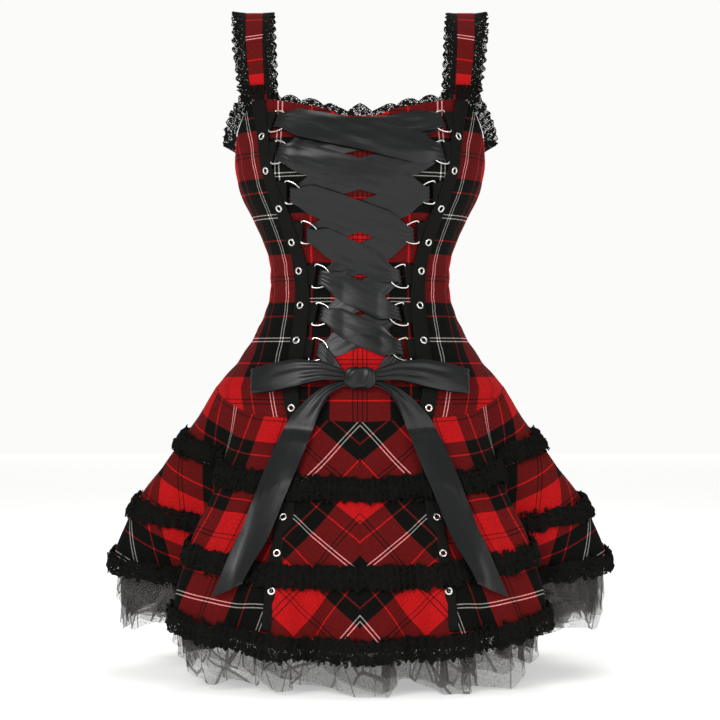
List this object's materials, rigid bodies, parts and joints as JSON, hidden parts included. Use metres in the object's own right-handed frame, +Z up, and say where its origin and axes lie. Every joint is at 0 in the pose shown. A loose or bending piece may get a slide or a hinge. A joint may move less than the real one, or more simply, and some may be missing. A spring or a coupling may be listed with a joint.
{
  "type": "corset dress",
  "caption": "Sleeveless tartan corset dress in its worn form, with a ribbon-laced boned-look bodice, lace edging and a flared lace-trimmed skirt over a net frill.",
  "frame": {"origin": "midway between the crowns of the two shoulder straps, where the dress hangs on the shoulders", "axes": "+Z up, -Y the dress's front, +X the wearer's left"},
  "size_m": [0.648, 0.4788, 0.8547],
  "materials": {
    "tartan": "woven twill",
    "tape": "matt grosgrain",
    "lace": "matt lace",
    "satin": "satin",
    "net": "sheer net",
    "metal": "polished"
  },
  "bodies": {
    "dress": {"armhole_lace_l": "lace", "armhole_lace_r": "lace", "bodice_back_l": "tartan", "bodice_back_r": "tartan", "bodice_front": "tartan", "bodice_side_front_l": "tartan", "bodice_side_front_r": "tartan", "bodice_side_l": "tartan", "bodice_side_r": "tartan", "bow_knot": "satin", "bow_loop_l": "satin", "bow_loop_r": "satin", "bow_tail_l": "satin", "bow_tail_r": "satin", "d_ring_l1": "metal", "d_ring_l2": "metal", "d_ring_l3": "metal", "d_ring_l4": "metal", "d_ring_l5": "metal", "d_ring_l6": "metal", "d_ring_l7": "metal", "d_ring_r1": "metal", "d_ring_r2": "metal", "d_ring_r3": "metal", "d_ring_r4": "metal", "d_ring_r5": "metal", "d_ring_r6": "metal", "d_ring_r7": "metal", "eyelet_tape_l": "tape", "eyelet_tape_r": "tape", "lacing_ribbon": "satin", "neck_lace": "lace", "net_frill": "net", "ring_tabs_l": "tape", "ring_tabs_r": "tape", "skirt_back_l": "tartan", "skirt_back_r": "tartan", "skirt_front_l": "tartan", "skirt_front_r": "tartan", "skirt_side_front_l": "tartan", "skirt_side_front_r": "tartan", "skirt_trim_1": "lace", "skirt_trim_2": "lace", "skirt_trim_3": "lace", "strap_base_lace_l": "lace", "strap_base_lace_r": "lace", "strap_l": "tartan", "strap_lace_l": "lace", "strap_lace_r": "lace", "strap_r": "tartan", "zip_slider": "metal"},
    "zip_pull": {"zip_pull": "metal"}
  },
  "joints": [
    {"name": "zip_pull_hinge", "type": "hinge", "parent": "dress", "child": "zip_pull", "pos_m": [0, 0.0997, -0.168], "axis": [1, 0, 0], "range_deg": [0, 150]}
  ]
}
